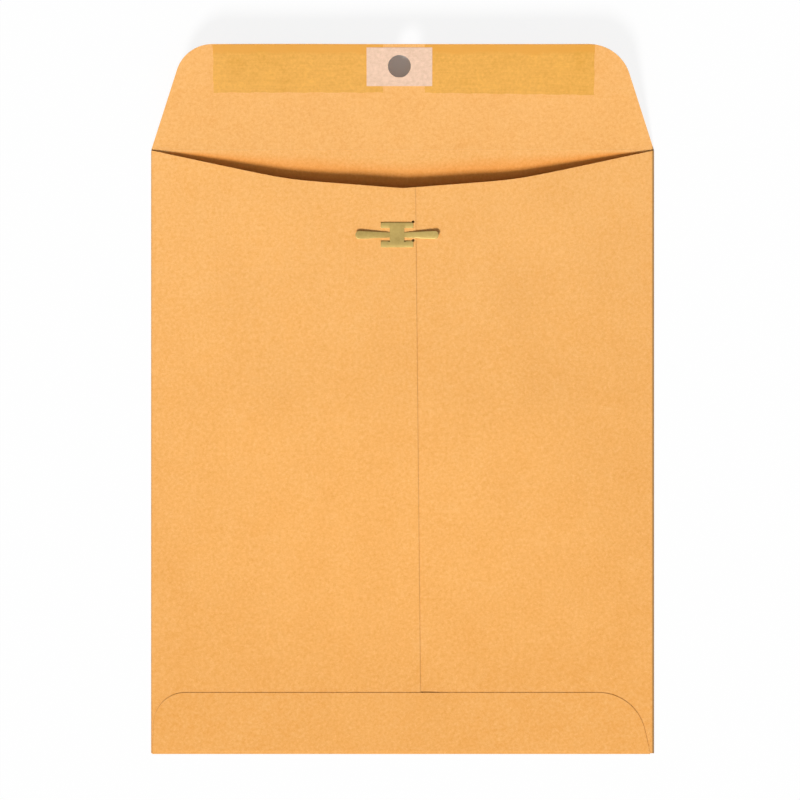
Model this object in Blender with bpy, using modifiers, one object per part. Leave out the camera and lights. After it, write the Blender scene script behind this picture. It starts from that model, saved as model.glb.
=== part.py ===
"""Clasp envelope, 10 x 12 in, lying with its clasp side up and its seal flap open.

The envelope is one kraft blank, folded: the front panel lies on the table, two side panels fold
over it and lap at a centre seam, the bottom flap folds up over them, and the seal flap swings at
the top fold. A stamped metal clasp is clinched through both laps of the seam.

Frame: metres, +Z up, +Y towards the seal flap. The origin is the middle of the front panel's
outer face, on the table.
"""

import math

import bmesh
import bpy
from mathutils import Matrix, Vector

MM = 0.001

# Envelope body
BODY_WIDTH = 254 * MM
BODY_HEIGHT = 304.8 * MM
PAPER = 0.18 * MM
LAYER_GAP = 0.12 * MM
FOLD_RADIUS = 0.35 * MM
GLUE_FILM = 0.06 * MM

# Pocket, which gapes at the throat and is flat behind the bottom flap
GAPE = 4.4 * MM
FLAT_FOOT = 36 * MM
FULL_GAPE_SHARE = 0.45

# Side panels
SEAM_EDGE_X = 6.4 * MM
SEAM_SLANT = 3.0 * MM
SEAM_LAP = 28 * MM
SEAM_GLUE_WIDTH = 8 * MM
SEAM_GLUE_INSET = 1.2 * MM
SEAM_GLUE_TOP_INSET = 5 * MM
LAP_RAMP = 12 * MM
LAP_RAMP_CLEAR = 2 * MM
THROAT_KNEE = 69 * MM
THROAT_KNEE_DROP = 15 * MM
THROAT_DEPTH = 19.3 * MM
THROAT_KNEE_ROUND = 10 * MM
PANEL_BOTTOM_CLEAR = 2.4 * MM

# Bottom flap
BOTTOM_FLAP_HEIGHT = 31 * MM
BOTTOM_FLAP_INSET_LEFT = 0.6 * MM
BOTTOM_FLAP_INSET_RIGHT = 2.0 * MM
BOTTOM_FLAP_SLANT_LEFT = math.radians(2)
BOTTOM_FLAP_SLANT_RIGHT = math.radians(13)
BOTTOM_FLAP_CORNER_LEFT = 16 * MM
BOTTOM_FLAP_CORNER_RIGHT = 24 * MM
BOTTOM_GLUE_LOW = 10 * MM
BOTTOM_GLUE_HIGH = 22 * MM
BOTTOM_GLUE_SIDE_INSET = 16 * MM

# Seal flap, raised a little by the memory of its crease
FLAP_LENGTH = 54.6 * MM
FLAP_TAPER = 17.9 * MM
FLAP_CORNER_LEFT = 19 * MM
FLAP_CORNER_RIGHT = 22 * MM
FLAP_REST_ANGLE = math.radians(16)
FLAP_CLOSED_ANGLE = math.radians(15)
CREASE_GAP = 0.15 * MM
CREASE_RADIUS = 0.5 * MM
GUM_FILM = 0.05 * MM
GUM_WIDTH = 25.4 * MM
GUM_END_INSET = 13.3 * MM
GUM_X = 0.6 * MM
GUM_EDGE_INSET = 0.3 * MM
GUM_BREAK = 21 * MM
HOLE_X = -2.2 * MM
HOLE_FROM_EDGE = 10.8 * MM
HOLE_DIAMETER = 11.5 * MM
PATCH_FILM = 0.1 * MM
PATCH_WIDTH = 33 * MM
PATCH_HEIGHT = 19.8 * MM

# Clasp, stamped from one metal strip, with its prongs under the hole of the closed flap
METAL = 0.25 * MM
CLASP_X = -2.8 * MM
CLASP_PAST_HOLE = 0.55 * MM
CLASP_HEIGHT = 12.6 * MM
CLASP_WIDTH = 16.4 * MM
WEB_WIDTH = 7.3 * MM
UPPER_BAR = 2.85 * MM
LOWER_BAR = 3.2 * MM
TAB_INSET = 0.45 * MM
TAB_RELIEF = 0.7 * MM
TAB_LENGTH = 2.4 * MM
TAB_BEND = 0.3 * MM
SLIT_END_CLEAR = 0.35 * MM
SLIT_SIDE_CLEAR = 0.12 * MM
PRONG_LENGTH = 17.3 * MM
PRONG_ROOT_WIDTH = 2.6 * MM
PRONG_TIP_WIDTH = 4.1 * MM
PRONG_CROWN = 0.18 * MM
PRONG_GAP = 0.12 * MM
PRONG_TIP_TURN = math.radians(80)
PRONG_REST_ANGLE = math.radians(4)

# Mesh divisions
BEND_STEPS = 8
PANEL_COLUMNS = 18
PANEL_ROWS = 14
FLAP_COLUMNS = 24
CORNER_STEPS = 8
TAB_STEPS = 3
PRONG_STEPS = 4
PRONG_ROWS = 4
HOLE_STEPS = 48

# Colours, in linear light
KRAFT = (0.956, 0.485, 0.159)
GUM = (0.871, 0.434, 0.091)
PATCH = (0.896, 0.624, 0.456)
GLUE = (0.82, 0.70, 0.48)
BRASS = (0.58, 0.39, 0.13)

# Places that follow from the sizes above
FOLD_Y = BODY_HEIGHT / 2
FOOT_Y = -BODY_HEIGHT / 2
BEND_X = BODY_WIDTH / 2 - PAPER / 2 - FOLD_RADIUS
WALL_Z = PAPER / 2 + 2 * FOLD_RADIUS
LAYER_STEP = PAPER + GLUE_FILM + 2 * LAYER_GAP
INNER_EDGE_X = SEAM_EDGE_X - SEAM_LAP
HOLE_DISTANCE = FLAP_LENGTH - HOLE_FROM_EDGE
CLASP_Y = FOLD_Y - HOLE_DISTANCE * math.cos(FLAP_CLOSED_ANGLE) - CLASP_PAST_HOLE


def smooth(t):
    """0 below 0, 1 above 1, and an even S between."""
    t = min(max(t, 0.0), 1.0)
    return t * t * (3 - 2 * t)


def lift(x, y):
    """How far the clasp-side wall bows off the front panel at a place on the body."""
    arch = max(0.0, 1 - (x / BEND_X) ** 2)
    depth = (FOLD_Y - y) / (BODY_HEIGHT - FLAT_FOOT)
    taper = 1 - smooth((depth - FULL_GAPE_SHARE) / (1 - FULL_GAPE_SHARE))
    return GAPE * arch * taper


def lap_rise(x):
    """Share of one layer by which the outer lap climbs over the inner lap's edge."""
    start = INNER_EDGE_X - LAP_RAMP_CLEAR - LAP_RAMP
    return smooth((x - start) / LAP_RAMP)


def seam_edge(y):
    """The outer lap's cut edge, which leans a little to the right towards the foot."""
    return SEAM_EDGE_X + SEAM_SLANT * (FOLD_Y - y) / BODY_HEIGHT


def lap_fall(x):
    """Share of one layer that is left past the outer lap's edge, at the foot."""
    start = seam_edge(FOOT_Y) + LAP_RAMP_CLEAR
    return 1 - smooth((x - start) / LAP_RAMP)


def throat_edge(x):
    """Height on the page of the side panels' cut edge: a slope, a round knee and a gentler slope."""
    along = BODY_WIDTH / 2 - abs(x)
    steep = THROAT_KNEE_DROP / THROAT_KNEE
    gentle = (THROAT_DEPTH - THROAT_KNEE_DROP) / (BODY_WIDTH / 2 - THROAT_KNEE)
    past = along - THROAT_KNEE
    before_knee = (along + THROAT_KNEE - math.hypot(past, THROAT_KNEE_ROUND)) / 2
    return FOLD_Y - gentle * along - (steep - gentle) * before_knee


def make_collection(name):
    collection = bpy.data.collections.new(name)
    bpy.context.scene.collection.children.link(collection)
    return collection


def make_material(name, colour, roughness, metallic=0.0):
    material = bpy.data.materials.new(name)
    material.use_nodes = True
    shader = material.node_tree.nodes["Principled BSDF"]
    shader.inputs["Base Color"].default_value = (*colour, 1)
    shader.inputs["Roughness"].default_value = roughness
    shader.inputs["Metallic"].default_value = metallic
    material.diffuse_color = (*colour, 1)
    return material


def add_object(name, data, collection, material=None, parent=None):
    obj = bpy.data.objects.new(name, data)
    collection.objects.link(obj)
    if material:
        data.materials.append(material)
    obj.parent = parent
    return obj


def add_empty(name, collection, location, angle=0.0):
    empty = bpy.data.objects.new(name, None)
    collection.objects.link(empty)
    empty.location = location
    empty.rotation_euler = (angle, 0, 0)
    return empty


def thicken(obj, thickness):
    solid = obj.modifiers.new("thickness", "SOLIDIFY")
    solid.thickness = thickness
    solid.offset = 0
    solid.use_even_offset = True


def make_sheet(name, columns, rows, place, thickness, collection, material, parent=None):
    """A sheet from a grid: place(u, v) says where each point of its middle surface lies."""
    grid = bmesh.new()
    bmesh.ops.create_grid(grid, x_segments=columns, y_segments=rows, size=0.5)
    for vertex in grid.verts:
        vertex.co = place(vertex.co.x + 0.5, vertex.co.y + 0.5)
    mesh = bpy.data.meshes.new(name)
    grid.to_mesh(mesh)
    grid.free()
    mesh.shade_smooth()
    obj = add_object(name, mesh, collection, material, parent)
    thicken(obj, thickness)
    return obj


def rounded_outline(corners, radii):
    """The corners' polygon, with each corner rounded by an arc of its radius."""
    points = []
    for i, corner in enumerate(corners):
        here, radius = Vector(corner), radii[i]
        if not radius:
            points.append(here)
            continue
        to_last = (Vector(corners[i - 1]) - here).normalized()
        to_next = (Vector(corners[(i + 1) % len(corners)]) - here).normalized()
        half_angle = to_last.angle(to_next) / 2
        centre = here + (to_last + to_next).normalized() * (radius / math.sin(half_angle))
        start = here + to_last * (radius / math.tan(half_angle)) - centre
        end = here + to_next * (radius / math.tan(half_angle)) - centre
        turn = start.angle_signed(end)
        for step in range(CORNER_STEPS + 1):
            angle = -turn * step / CORNER_STEPS
            points.append(centre + Matrix.Rotation(angle, 2) @ start)
    return points


def circle_outline(centre, diameter):
    angles = [2 * math.pi * step / HOLE_STEPS for step in range(HOLE_STEPS)]
    radius = diameter / 2
    return [(centre[0] + radius * math.cos(a), centre[1] + radius * math.sin(a)) for a in angles]


def make_flat(name, outlines, thickness, collection, material, parent, height=0.0):
    """A flat sheet cut to the first outline, with the others punched out, at a height over its parent."""
    curve = bpy.data.curves.new(name, "CURVE")
    curve.dimensions = "2D"
    curve.fill_mode = "BOTH"
    curve.extrude = thickness / 2
    for outline in outlines:
        spline = curve.splines.new("POLY")
        spline.points.add(len(outline) - 1)
        for point, (x, y) in zip(spline.points, outline):
            point.co = (x, y, 0, 1)
        spline.use_cyclic_u = True
    obj = add_object(name, curve, collection, material, parent)
    obj.location = (0, 0, height)
    return obj


def rectangle(left, right, low, high):
    return [(left, low), (right, low), (right, high), (left, high)]


def make_front_panel(collection, material):
    """The address side: flat on the table, between the starts of the folds."""
    half_width = BEND_X - LAYER_GAP
    low = FOOT_Y + bottom_bend_depth() + LAYER_GAP
    outline = rectangle(-half_width, half_width, low, FOLD_Y - CREASE_GAP)
    return make_flat("front_panel", [outline], PAPER, collection, material, None, PAPER / 2)


def make_side_panel(name, side, free_edge, climb, collection, material):
    """One side panel with its fold: round the bend, then over the pocket to its free edge.

    side is -1 for the left panel and 1 for the right. free_edge gives the free edge's place at a
    height on the page, and climb the share of a layer by which the panel rises at a place.
    """
    columns = BEND_STEPS + PANEL_COLUMNS
    bend_share = BEND_STEPS / columns
    start = side * BEND_X
    low = FOOT_Y + PANEL_BOTTOM_CLEAR

    def place(u, v):
        if u <= bend_share:
            angle = math.pi * u / bend_share
            x = start + side * FOLD_RADIUS * math.sin(angle)
            y = low + (throat_edge(start) - low) * v
            return x, y, PAPER / 2 + FOLD_RADIUS * (1 - math.cos(angle))
        across = (u - bend_share) / (1 - bend_share)
        level = low + (throat_edge(free_edge(FOLD_Y)) - low) * v
        x = start + (free_edge(level) - start) * across
        y = low + (throat_edge(x) - low) * v
        return x, y, WALL_Z + lift(x, y) + LAYER_STEP * climb(x)

    return make_sheet(name, columns, PANEL_ROWS, place, PAPER, collection, material)


def bottom_bend_depth():
    """How far the bottom fold's round reaches in from the body's foot to where the panel starts."""
    return PAPER / 2 + (WALL_Z + 2 * LAYER_STEP - PAPER / 2) / 2


def bottom_flap_side(inset, slant, corner, height):
    """One side of the bottom flap, row by row: how far it stands in from the body's edge, and how high.

    Rows run up the slanted side and then round the corner's arc to the top edge.
    """
    arc_low = height - corner * (1 - math.sin(slant))
    arc_inset = inset + arc_low * math.tan(slant)
    centre_inset = arc_inset + corner * math.cos(slant)
    rows = [(inset + arc_low * share * math.tan(slant), arc_low * share) for share in (0, 0.34, 0.67)]
    for step in range(CORNER_STEPS + 1):
        angle = slant + (math.pi / 2 - slant) * step / CORNER_STEPS
        rows.append((centre_inset - corner * math.cos(angle), height + corner * (math.sin(angle) - 1)))
    return rows


def make_bottom_flap(collection, material):
    """The flap that closes the foot: round the bottom fold and up over both side panels."""
    depth = bottom_bend_depth()
    round_reach = depth - PAPER / 2
    left = bottom_flap_side(
        BOTTOM_FLAP_INSET_LEFT, BOTTOM_FLAP_SLANT_LEFT, BOTTOM_FLAP_CORNER_LEFT, BOTTOM_FLAP_HEIGHT - depth
    )
    right = bottom_flap_side(
        BOTTOM_FLAP_INSET_RIGHT, BOTTOM_FLAP_SLANT_RIGHT, BOTTOM_FLAP_CORNER_RIGHT, BOTTOM_FLAP_HEIGHT - depth
    )
    rows = BEND_STEPS + len(left) - 1

    def place(u, v):
        row = round(v * rows)
        flat_row = max(0, row - BEND_STEPS)
        left_x = -BODY_WIDTH / 2 + left[flat_row][0]
        right_x = BODY_WIDTH / 2 - right[flat_row][0]
        x = left_x + (right_x - left_x) * u
        top_z = WALL_Z + LAYER_STEP * (1 + lap_rise(x) * lap_fall(x))
        if row >= BEND_STEPS:
            rise = left[flat_row][1] + (right[flat_row][1] - left[flat_row][1]) * u
            return x, FOOT_Y + depth + rise, top_z
        angle = math.pi * row / BEND_STEPS
        half_height = (top_z - PAPER / 2) / 2
        y = FOOT_Y + depth - round_reach * math.sin(angle)
        return x, y, PAPER / 2 + half_height * (1 - math.cos(angle))

    return make_sheet("bottom_flap", FLAP_COLUMNS, rows, place, PAPER, collection, material)


def make_seam_glue(collection, material):
    """The line of dried glue between the two laps of the centre seam, beside the clasp."""
    left = INNER_EDGE_X + SEAM_GLUE_INSET
    low = FOOT_Y + PANEL_BOTTOM_CLEAR

    def place(u, v):
        x = left + SEAM_GLUE_WIDTH * u
        high = throat_edge(x) - SEAM_GLUE_TOP_INSET
        y = low + (high - low) * v
        return x, y, WALL_Z + lift(x, y) + LAYER_STEP / 2

    return make_sheet("centre_seam_glue", 2, PANEL_ROWS, place, GLUE_FILM, collection, material)


def make_bottom_glue(collection, material):
    """The line of dried glue under the bottom flap."""
    half_width = BODY_WIDTH / 2 - BOTTOM_GLUE_SIDE_INSET

    def place(u, v):
        x = half_width * (2 * u - 1)
        y = FOOT_Y + BOTTOM_GLUE_LOW + (BOTTOM_GLUE_HIGH - BOTTOM_GLUE_LOW) * v
        return x, y, WALL_Z + LAYER_STEP * (0.5 + lap_rise(x) * lap_fall(x))

    return make_sheet("bottom_seam_glue", FLAP_COLUMNS, 2, place, GLUE_FILM, collection, material)


def make_seal_flap(collection, hinge, paper, gum, patch):
    """The seal flap and what is stuck to its inner face, all hung on the crease.

    The crease bends round the side folds, so the flap turns about a line above its inner face.
    """
    half_fold = BODY_WIDTH / 2
    half_top = half_fold - FLAP_TAPER
    slope = FLAP_TAPER / FLAP_LENGTH
    corners = [
        (-half_fold + slope * CREASE_GAP, CREASE_GAP),
        (half_fold - slope * CREASE_GAP, CREASE_GAP),
        (half_top, FLAP_LENGTH),
        (-half_top, FLAP_LENGTH),
    ]
    hole_centre = (HOLE_X, HOLE_DISTANCE)
    outline = rounded_outline(corners, [0, 0, FLAP_CORNER_RIGHT, FLAP_CORNER_LEFT])
    hole = circle_outline(hole_centre, HOLE_DIAMETER)
    make_flat("seal_flap", [outline, hole], PAPER, collection, paper, hinge, -CREASE_RADIUS - PAPER / 2)

    gum_half_length = half_top - GUM_END_INSET
    gum_high = FLAP_LENGTH - GUM_EDGE_INSET
    gum_low = gum_high - GUM_WIDTH
    gum_height = LAYER_GAP + GUM_FILM / 2 - CREASE_RADIUS
    for name, side in (("seal_gum_left", -1), ("seal_gum_right", 1)):
        ends = sorted((GUM_X + side * GUM_BREAK / 2, GUM_X + side * gum_half_length))
        strip = rectangle(*ends, gum_low, gum_high)
        make_flat(name, [strip], GUM_FILM, collection, gum, hinge, gum_height)

    patch_height = 2 * LAYER_GAP + GUM_FILM + PATCH_FILM / 2 - CREASE_RADIUS
    label = rectangle(
        HOLE_X - PATCH_WIDTH / 2,
        HOLE_X + PATCH_WIDTH / 2,
        HOLE_DISTANCE - PATCH_HEIGHT / 2,
        HOLE_DISTANCE + PATCH_HEIGHT / 2,
    )
    make_flat("hole_patch", [label, hole], PATCH_FILM, collection, patch, hinge, patch_height)


def clasp_seat():
    """Heights of the clasp plate's and the clinched tabs' middle surfaces, clear of the laps they hold."""
    places = [
        (CLASP_X + sx * CLASP_WIDTH / 2, CLASP_Y + sy * CLASP_HEIGHT / 2)
        for sx in (-1, 0, 1)
        for sy in (-1, 0, 1)
    ]
    heights = [WALL_Z + lift(x, y) for x, y in places]
    clear = PAPER / 2 + LAYER_GAP + METAL / 2
    return max(heights) + LAYER_STEP + clear, min(heights) - clear


def tab_path(drop, direction):
    """A tab's middle line from the plate's edge: over a bend, down through the slit, round to +Y or -Y."""
    radius = TAB_BEND
    angles = [math.pi / 2 * step / TAB_STEPS for step in range(1, TAB_STEPS + 1)]
    over = [(radius * math.sin(a), radius * (math.cos(a) - 1)) for a in angles]
    turn_y = radius + direction * radius
    turn_z = radius - drop
    under = [(turn_y - direction * radius * math.cos(a), turn_z - radius * math.sin(a)) for a in angles]
    end = (turn_y + direction * (TAB_LENGTH - radius), -drop)
    return [*over, (radius, turn_z), *under, end]


def fold_tab(grid, edges, path):
    """Draws a row of edges out along a path, each step a new row of faces."""
    last = (0, 0)
    for y, z in path:
        made = bmesh.ops.extrude_edge_only(grid, edges=edges)["geom"]
        fresh = {item for item in made if isinstance(item, bmesh.types.BMVert)}
        bmesh.ops.translate(grid, verts=list(fresh), vec=(0, y - last[0], z - last[1]))
        made_edges = [item for item in made if isinstance(item, bmesh.types.BMEdge)]
        edges = [edge for edge in made_edges if fresh.issuperset(edge.verts)]
        last = (y, z)


def make_clasp_base(collection, material, seat, drop):
    """The I-shaped plate, with one tab over the upper slit and two beside the web over the lower slit."""
    half_width, half_height, half_web = CLASP_WIDTH / 2, CLASP_HEIGHT / 2, WEB_WIDTH / 2
    tab_outer, tab_inner = half_width - TAB_INSET, half_web + TAB_RELIEF
    half_columns = [half_web, tab_inner, tab_outer, half_width]
    columns = [-x for x in reversed(half_columns)] + half_columns
    rows = [-half_height, LOWER_BAR - half_height - TAB_BEND, half_height - UPPER_BAR, half_height - TAB_BEND]

    grid = bmesh.new()
    bmesh.ops.create_grid(grid, x_segments=len(columns) - 1, y_segments=len(rows) - 1, size=0.5)
    for vertex in grid.verts:
        column = round((vertex.co.x + 0.5) * (len(columns) - 1))
        row = round((vertex.co.y + 0.5) * (len(rows) - 1))
        vertex.co = (columns[column], rows[row], 0)

    def beside_web(face):
        centre = face.calc_center_median()
        return abs(centre.x) > half_web and rows[1] < centre.y < rows[2]

    windows = [face for face in grid.faces if beside_web(face)]
    bmesh.ops.delete(grid, geom=windows, context="FACES")

    def open_edges(y, inner, outer):
        """Boundary edges along one row whose middles lie between two distances from the web's middle."""
        found = []
        for edge in grid.edges:
            middle = (edge.verts[0].co + edge.verts[1].co) / 2
            level = edge.verts[0].co.y == edge.verts[1].co.y and abs(middle.y - y) < METAL
            if edge.is_boundary and level and inner < abs(middle.x) < outer:
                found.append(edge)
        return found

    upper = open_edges(rows[3], -half_width, tab_outer)
    lower = open_edges(rows[1], tab_inner, tab_outer)
    fold_tab(grid, upper, tab_path(drop, -1))
    fold_tab(grid, lower, tab_path(drop, 1))
    bmesh.ops.recalc_face_normals(grid, faces=grid.faces)

    mesh = bpy.data.meshes.new("clasp_base")
    grid.to_mesh(mesh)
    grid.free()
    obj = add_object("clasp_base", mesh, collection, material, seat)
    thicken(obj, METAL)
    return obj


def make_prong(name, side, collection, material, seat):
    """One prong: a tongue with a round tip and a crowned back, hung on the web's edge."""

    tip_radius = PRONG_TIP_WIDTH / 2
    straight = PRONG_LENGTH - tip_radius
    columns = PRONG_STEPS + CORNER_STEPS

    def place(u, v):
        column = round(u * columns)
        if column <= PRONG_STEPS:
            share = column / PRONG_STEPS
            along = PRONG_GAP + (straight - PRONG_GAP) * share
            half_width = PRONG_ROOT_WIDTH / 2 + (tip_radius - PRONG_ROOT_WIDTH / 2) * share
        else:
            angle = PRONG_TIP_TURN * (column - PRONG_STEPS) / CORNER_STEPS
            along = straight + tip_radius * math.sin(angle)
            half_width = tip_radius * math.cos(angle)
        across = 2 * v - 1
        crown = PRONG_CROWN * (1 - across**2) * smooth(along / PRONG_TIP_WIDTH)
        return side * along, across * half_width, crown - METAL / 2

    obj = make_sheet(name, columns, PRONG_ROWS, place, METAL, collection, material, seat)
    obj.location = (side * WEB_WIDTH / 2, 0, METAL / 2)
    obj.rotation_euler = (0, -side * PRONG_REST_ANGLE, 0)
    return obj


def cut_slits(panels, cutters):
    """Two slits through both laps, for the clasp's tabs."""
    length = CLASP_WIDTH - 2 * TAB_INSET + 2 * SLIT_END_CLEAR
    width = METAL + 2 * SLIT_SIDE_CLEAR
    lower_slit_y = CLASP_Y - CLASP_HEIGHT / 2 + LOWER_BAR
    for name, y in (("upper_slit", CLASP_Y + CLASP_HEIGHT / 2), ("lower_slit", lower_slit_y)):
        box = bmesh.new()
        bmesh.ops.create_cube(box, size=1)
        bmesh.ops.scale(box, verts=box.verts, vec=(length, width, 4 * GAPE))
        mesh = bpy.data.meshes.new(name)
        box.to_mesh(mesh)
        box.free()
        cutter = add_object(name, mesh, cutters)
        cutter.location = (CLASP_X, y, WALL_Z + GAPE)
        cutter.hide_render = True
        cutter.display_type = "WIRE"
        for panel in panels:
            cut = panel.modifiers.new(name, "BOOLEAN")
            cut.operation = "DIFFERENCE"
            cut.object = cutter


def main():
    for obj in list(bpy.data.objects):
        bpy.data.objects.remove(obj)
    parts = make_collection("clasp_envelope")
    cutters = make_collection("cutters")

    paper = make_material("kraft_paper", KRAFT, 0.85)
    gum = make_material("seal_gum", GUM, 0.45)
    patch = make_material("patch_paper", PATCH, 0.7)
    glue = make_material("seam_glue", GLUE, 0.5)
    brass = make_material("brassed_steel", BRASS, 0.35, 1.0)

    make_front_panel(parts, paper)
    left = make_side_panel("left_side_panel", -1, seam_edge, lap_rise, parts, paper)
    right = make_side_panel("right_side_panel", 1, lambda y: INNER_EDGE_X, lambda x: 0, parts, paper)
    cut_slits([left, right], cutters)
    make_bottom_flap(parts, paper)
    make_seam_glue(parts, glue)
    make_bottom_glue(parts, glue)

    crease = add_empty("top_crease", parts, (0, FOLD_Y, PAPER + CREASE_RADIUS), FLAP_REST_ANGLE)
    make_seal_flap(parts, crease, paper, gum, patch)

    plate_z, clinch_z = clasp_seat()
    seat = add_empty("clasp_seat", parts, (CLASP_X, CLASP_Y, plate_z))
    make_clasp_base(parts, brass, seat, plate_z - clinch_z)
    make_prong("left_prong", -1, parts, brass, seat)
    make_prong("right_prong", 1, parts, brass, seat)


main()
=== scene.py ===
# %% [markdown]
# # A kraft clasp envelope
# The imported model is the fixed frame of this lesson: a pocket folded from one kraft blank, a seal flap with
# dried gum and a punched hole, and a small stamped clasp. Here every piece that shows is made again, finer,
# in the place where the frame has it, and gets its paper, gum or metal finish.

# %% Load the frame and keep its box
import math

import bpy
from mathutils import Matrix, Vector


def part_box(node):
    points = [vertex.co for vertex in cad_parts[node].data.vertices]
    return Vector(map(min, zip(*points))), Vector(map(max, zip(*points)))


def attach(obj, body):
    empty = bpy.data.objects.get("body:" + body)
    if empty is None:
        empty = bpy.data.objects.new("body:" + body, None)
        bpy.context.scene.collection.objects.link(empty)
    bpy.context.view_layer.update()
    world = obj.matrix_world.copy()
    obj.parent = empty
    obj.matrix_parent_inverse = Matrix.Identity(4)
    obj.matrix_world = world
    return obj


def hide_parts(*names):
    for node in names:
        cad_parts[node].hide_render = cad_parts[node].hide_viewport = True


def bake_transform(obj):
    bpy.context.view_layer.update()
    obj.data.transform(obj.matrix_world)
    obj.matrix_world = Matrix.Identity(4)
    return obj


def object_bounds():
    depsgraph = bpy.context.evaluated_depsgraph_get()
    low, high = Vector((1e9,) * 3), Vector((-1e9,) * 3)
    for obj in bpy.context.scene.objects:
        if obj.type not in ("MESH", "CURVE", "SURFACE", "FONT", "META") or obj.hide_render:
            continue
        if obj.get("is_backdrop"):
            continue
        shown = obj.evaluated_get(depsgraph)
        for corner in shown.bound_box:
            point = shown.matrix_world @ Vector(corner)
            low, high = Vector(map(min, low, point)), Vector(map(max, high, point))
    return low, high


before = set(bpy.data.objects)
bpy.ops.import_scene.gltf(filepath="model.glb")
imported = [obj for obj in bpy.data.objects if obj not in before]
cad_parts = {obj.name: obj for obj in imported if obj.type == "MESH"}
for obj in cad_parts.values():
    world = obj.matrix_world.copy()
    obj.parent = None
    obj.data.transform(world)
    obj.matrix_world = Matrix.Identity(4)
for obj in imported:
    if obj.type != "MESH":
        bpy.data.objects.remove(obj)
cad_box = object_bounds()
MM = 0.001
print("nodes:", sorted(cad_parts))

# %% [markdown]
# ## Camera
# The picture is a straight look down at the clasp side, like a flatbed scan. A long lens from far away keeps
# the edges parallel, so nothing leans outwards, and the camera needs no tilt at all: a camera that isn't
# turned already looks down with +Y at the top of the picture.

# %% Camera
LENS = 200
SENSOR = 36
FRAME_WIDTH = 403.6 * MM
PICTURE_MIDDLE = Vector((-1.3 * MM, 26.4 * MM, 3 * MM))

drop_back = FRAME_WIDTH * LENS / SENSOR
bpy.ops.object.camera_add(location=PICTURE_MIDDLE + Vector((0, 0, drop_back)), rotation=(0, 0, 0))
camera = bpy.context.object
camera.name = "scan_camera"
camera.data.lens = LENS
camera.data.sensor_width = SENSOR
bpy.context.scene.camera = camera
bpy.context.scene.view_settings.view_transform = "Standard"
print("camera stands", round(drop_back, 3), "m above the paper")

# %% [markdown]
# ## Light
# Paper edges show only by their thin shadows, so the light has to come from one side: low from the foot of
# the page and a little from the left. A sun lamp with a wide angle is a softbox that has no falloff, which
# keeps the sheet even from end to end. The world fills in the rest. The two together come to a level of
# one, where a colour renders about as it is written.

# %% Key light
KEY_SHARE = 0.72
FILL_SHARE = 0.28
KEY_SOFTNESS = math.radians(16)
TOWARDS_KEY = Vector((-0.28, -0.70, 0.61)).normalized()

bpy.ops.object.light_add(type="SUN", location=TOWARDS_KEY)
key = bpy.context.object
key.name = "key_softbox"
key.rotation_euler = TOWARDS_KEY.to_track_quat("Z", "Y").to_euler()
key.data.angle = KEY_SOFTNESS
key.data.energy = math.pi * KEY_SHARE / TOWARDS_KEY.z
print("key light strength", round(key.data.energy, 2))

# %% [markdown]
# ## Writing shader sums as sums
# A material is a web of nodes, and a simple sum needs a node for each sign in it. This small class holds one
# output socket and turns +, -, * and abs() into Math nodes, so that a sum can be read in one line. Every
# other node comes from its node method: the type first, then the settings, then the sockets.

# %% The socket class
class Shade:
    """One output socket of a node web, which can stand in a sum."""

    def __init__(self, socket):
        self.socket = socket

    def node(self, kind, settings=(), sockets=(), output=0):
        """Adds a node in the same web, and gives one of its outputs."""
        tree = self.socket.id_data
        made = tree.nodes.new("ShaderNode" + kind)
        for name, value in dict(settings).items():
            setattr(made, name, value)
        for name, value in dict(sockets).items():
            if isinstance(value, Shade):
                tree.links.new(value.socket, made.inputs[name])
            else:
                made.inputs[name].default_value = value
        return Shade(made.outputs[output])

    def maths(self, operation, first, second=0.0):
        return self.node("Math", {"operation": operation}, {0: first, 1: second})

    def __add__(self, other):
        return self.maths("ADD", self, other)

    def __radd__(self, other):
        return self.maths("ADD", other, self)

    def __sub__(self, other):
        return self.maths("SUBTRACT", self, other)

    def __rsub__(self, other):
        return self.maths("SUBTRACT", other, self)

    def __mul__(self, other):
        return self.maths("MULTIPLY", self, other)

    def __rmul__(self, other):
        return self.maths("MULTIPLY", other, self)

    def __abs__(self):
        return self.maths("ABSOLUTE", self)


def new_web(owner):
    """Empties a material's or the world's node web."""
    owner.use_nodes = True
    owner.node_tree.nodes.clear()
    return owner.node_tree


def first_node(tree, kind, output=0):
    return Shade(tree.nodes.new("ShaderNode" + kind).outputs[output])


def set_surface(tree, kind, shader):
    """Joins a shader to the web's output node."""
    end = tree.nodes.new("ShaderNodeOutput" + kind)
    tree.links.new(shader.socket, end.inputs["Surface"])


print("shader sums are ready")

# %% [markdown]
# ## Noise, streaks and ramps
# Paper and rolled metal are mostly the same three patterns at different sizes: round blots, streaks drawn out
# along one direction, and a soft step that turns either of them into separate marks. The sizes are given in
# metres, because Object coordinates are, so each pattern keeps its true scale on every piece.

# %% Pattern helpers
CURL_CORE = 0.006
CURL_EDGE = 0.028


def blots(place, size, detail=2.0, roughness=0.5):
    """Soft noise between 0 and 1, with blots about this many metres across."""
    sockets = {"Vector": place, "Scale": 1 / size, "Detail": detail, "Roughness": roughness}
    return place.node("TexNoise", {}, sockets)


def streaks(place, turn, length, width):
    """Noise drawn out along one direction, as fibres and roller marks are."""
    sockets = {"Vector": place, "Rotation": (0, 0, turn), "Scale": (length, width, width)}
    drawn = place.node("Mapping", {"vector_type": "TEXTURE"}, sockets)
    return place.node("TexNoise", {}, {"Vector": drawn, "Scale": 1.0, "Detail": 1.0})


def curls(place, size):
    """Thin crooked lines, the contours of round blots, as loose fibres lie."""
    return 1 - step(abs(blots(place, size, 1.0) - 0.5), CURL_CORE, CURL_EDGE)


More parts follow.
